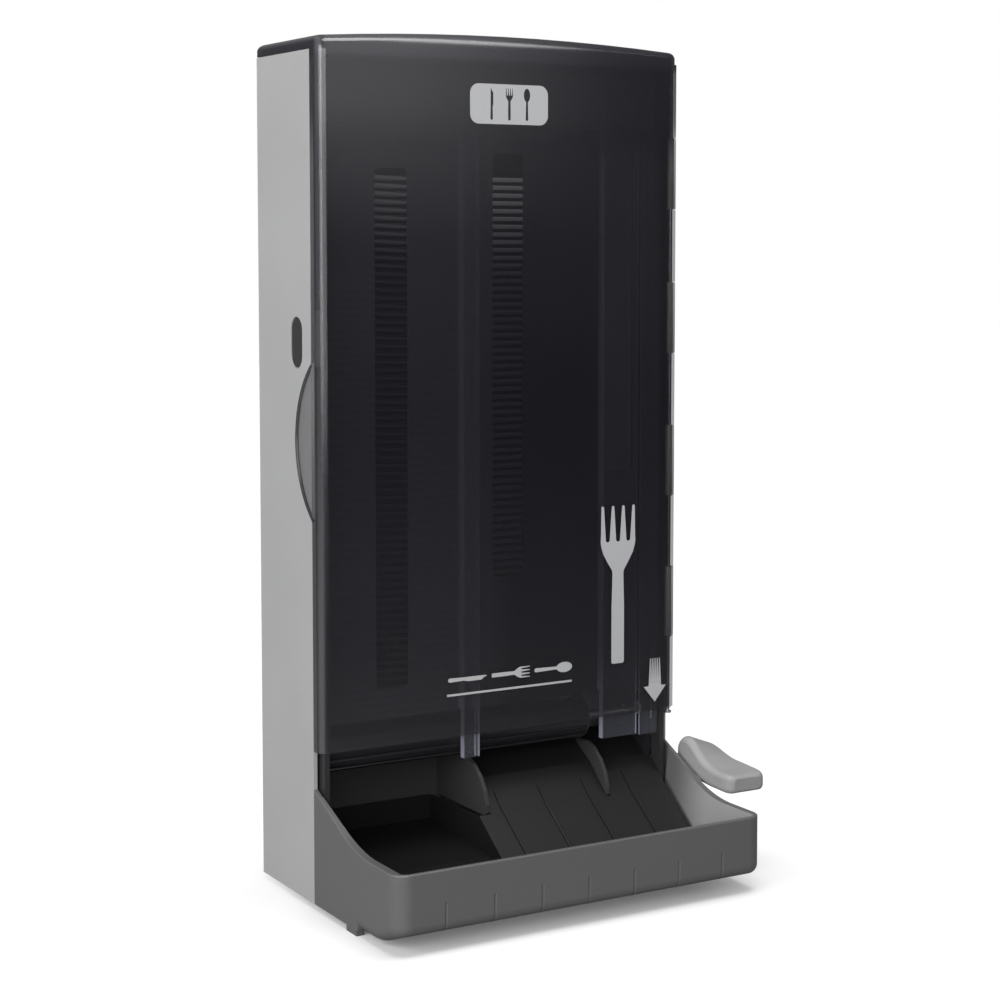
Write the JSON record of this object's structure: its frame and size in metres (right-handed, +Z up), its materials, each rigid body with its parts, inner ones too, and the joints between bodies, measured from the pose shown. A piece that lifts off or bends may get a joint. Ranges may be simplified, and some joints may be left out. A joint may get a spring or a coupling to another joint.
{
  "type": "cutlery dispenser",
  "caption": "Wall-mounted lever-operated dispenser for disposable cutlery, with a hinged smoke cover, a geared dispensing drum and a divided base tray.",
  "frame": {"origin": "middle of the base's flat underside, 75 mm in front of the wall face", "axes": "+X to the right as seen from the front, +Y towards the wall, +Z up"},
  "size_m": [0.3488, 0.218, 0.629],
  "materials": {
    "housing_plastic": "light grey moulded plastic with a fine satin texture",
    "smoke_cover": "dark smoke translucent plastic, glossy",
    "catch_plastic": "pale grey plastic",
    "latch_black": "dark grey plastic",
    "steel": "plain steel",
    "post_plastic": "dark grey plastic",
    "panel_plastic": "dark smoke plastic",
    "clear_guide": "clear plastic guides",
    "magazine_plastic": "grey plastic",
    "fork_black": "black moulded cutlery",
    "drum_plastic": "dark grey plastic",
    "gear_plastic": "natural acetal plastic",
    "lever_plastic": "light grey plastic with a satin texture",
    "tray_plastic": "mid grey plastic, satin",
    "liner_plastic": "black plastic, satin",
    "chute_plastic": "grey plastic",
    "foot_rubber": "black rubber"
  },
  "bodies": {
    "housing": {"rear_housing": "housing_plastic", "hinge_pin": "steel", "latch_bracket": "latch_black", "latch_spring": "steel", "left_post": "post_plastic", "right_post": "post_plastic", "inner_panel": "panel_plastic", "left_guide_strip": "clear_guide", "right_guide_panel": "clear_guide", "right_guide_strip": "clear_guide", "guide_rail": "clear_guide", "magazine_channel": "magazine_plastic", "fork_stack": "fork_black", "drum_bracket_left": "drum_plastic", "drum_bush_left": "gear_plastic", "drum_bush_right": "gear_plastic", "drive_plate": "drum_plastic", "idler_axle": "steel", "lever_bush": "gear_plastic", "return_spring": "steel", "tray_shell": "tray_plastic", "base_cradle": "tray_plastic", "rear_feet": "foot_rubber", "tray_liner": "liner_plastic", "chute_frame": "chute_plastic", "panel_screws": "steel", "drive_plate_screws": "steel", "cradle_screws": "steel", "latch_screws": "steel"},
    "cover": {"front_cover": "smoke_cover", "cover_catch": "catch_plastic"},
    "lever": {"press_lever": "lever_plastic", "lever_shaft": "steel", "sector_gear": "gear_plastic", "shaft_clip": "steel", "lever_washer": "steel", "lever_screw": "steel"},
    "drum": {"dispensing_drum": "drum_plastic", "drum_end_disc": "chute_plastic", "drum_shaft": "steel", "drum_pinion": "gear_plastic"},
    "idler": {"idler_gear": "gear_plastic"},
    "latch": {"latch_button": "latch_black"}
  },
  "joints": [
    {"name": "cover_hinge", "type": "hinge", "parent": "housing", "child": "cover", "pos_m": [0.151, -0.0198, 0.36], "axis": [0, 0, 1], "range_deg": [0, 120]},
    {"name": "lever_press", "type": "hinge", "parent": "housing", "child": "lever", "pos_m": [0.16, 0.013, 0.048], "axis": [1, 0, 0], "range_deg": [0, 20], "stiffness_Nm_per_rad": 1, "springref_deg": -11.46},
    {"name": "drum_turn", "type": "hinge", "parent": "housing", "child": "drum", "pos_m": [0, 0.001, 0.108], "axis": [1, 0, 0], "range_deg": [0, 100]},
    {"name": "idler_turn", "type": "hinge", "parent": "housing", "child": "idler", "pos_m": [0.145, 0.02168, 0.10434], "axis": [1, 0, 0], "range_deg": [-75, 0]},
    {"name": "latch_press", "type": "slide", "parent": "housing", "child": "latch", "axis": [1, 0, 0], "range_m": [0, 0.0035], "stiffness_N_per_m": 400, "springref_m": -0.002}
  ],
  "couplings": [
    {"joint": "drum_turn", "follows": "lever_press", "ratio": 5},
    {"joint": "idler_turn", "follows": "lever_press", "ratio": -3.75}
  ]
}
